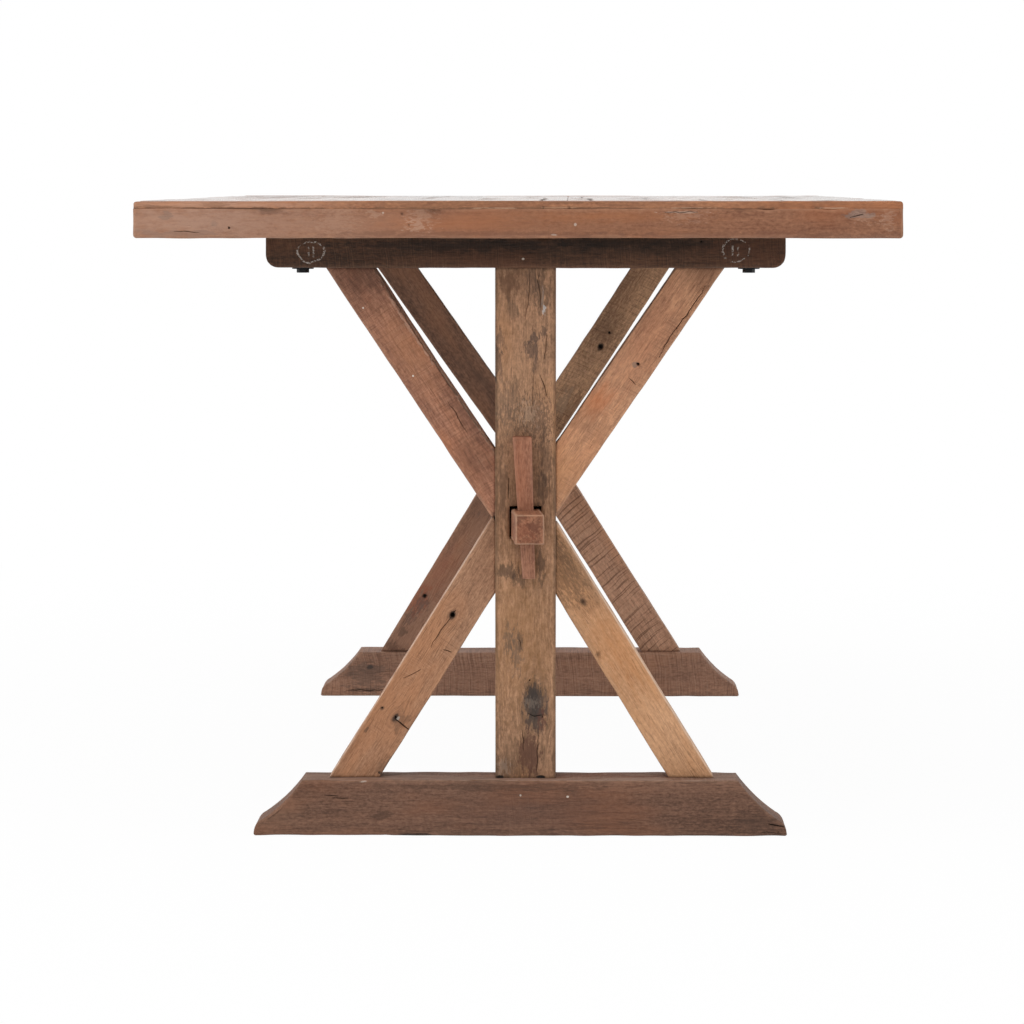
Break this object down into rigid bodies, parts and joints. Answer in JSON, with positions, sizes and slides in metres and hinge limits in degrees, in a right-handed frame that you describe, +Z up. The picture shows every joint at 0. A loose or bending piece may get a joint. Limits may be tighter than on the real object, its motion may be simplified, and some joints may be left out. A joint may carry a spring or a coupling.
{
  "type": "sawbuck table",
  "caption": "Rectangular dining table with a planked top on two cross-braced trestles, tied by a stretcher whose through tenons are locked by tusk keys.",
  "frame": {"origin": "on the floor under the middle of the top", "axes": "+Y along the length of the top, from the near trestle to the far one; +Z up; +X across the top"},
  "size_m": [0.896, 1.829, 0.762],
  "materials": {
    "deck_boards": "worn reclaimed planks, low satin wax",
    "frame_rails": "reddish reclaimed board, waxed, chipped edges",
    "cleat_wood": "dark reclaimed board with upright saw marks",
    "post_wood": "ochre-brown straight grain with cracks and dark knots",
    "brace_wood": "tan to reddish reclaimed stock with saw marks",
    "foot_wood": "dark reddish-brown reclaimed beam",
    "stretcher_wood": "reddish-brown beam, waxed",
    "key_wood": "pinkish red-brown wedge, waxed",
    "dowel_wood": "plain hardwood dowel",
    "black_steel": "blackened steel",
    "insert_brass": "plain turned brass"
  },
  "bodies": {
    "table": {"deck_plank_1": "deck_boards", "deck_plank_2": "deck_boards", "deck_plank_3": "deck_boards", "deck_plank_4": "deck_boards", "deck_plank_5": "deck_boards", "deck_plank_6": "deck_boards", "deck_plank_7": "deck_boards", "far_batten": "frame_rails", "far_brace_dowels": "dowel_wood", "far_brace_lower_left": "brace_wood", "far_brace_lower_right": "brace_wood", "far_brace_upper_left": "brace_wood", "far_brace_upper_right": "brace_wood", "far_cleat": "cleat_wood", "far_end_board": "deck_boards", "far_end_rail": "frame_rails", "far_foot": "foot_wood", "far_post": "post_wood", "far_threaded_inserts": "insert_brass", "far_top_bolts": "black_steel", "far_washers": "black_steel", "left_side_rail": "frame_rails", "middle_batten": "frame_rails", "near_batten": "frame_rails", "near_brace_dowels": "dowel_wood", "near_brace_lower_left": "brace_wood", "near_brace_lower_right": "brace_wood", "near_brace_upper_left": "brace_wood", "near_brace_upper_right": "brace_wood", "near_cleat": "cleat_wood", "near_end_board": "deck_boards", "near_end_rail": "frame_rails", "near_foot": "foot_wood", "near_post": "post_wood", "near_threaded_inserts": "insert_brass", "near_top_bolts": "black_steel", "near_washers": "black_steel", "right_side_rail": "frame_rails", "stretcher": "stretcher_wood"},
    "near_key": {"near_key": "key_wood"},
    "far_key": {"far_key": "key_wood"}
  },
  "joints": [
    {"name": "near_key_slide", "type": "slide", "parent": "table", "child": "near_key", "axis": [-0.0469, 0, 0.9989], "range_m": [0, 0.085]},
    {"name": "far_key_slide", "type": "slide", "parent": "table", "child": "far_key", "axis": [0.0293, 0, 0.9996], "range_m": [0, 0.085]}
  ]
}
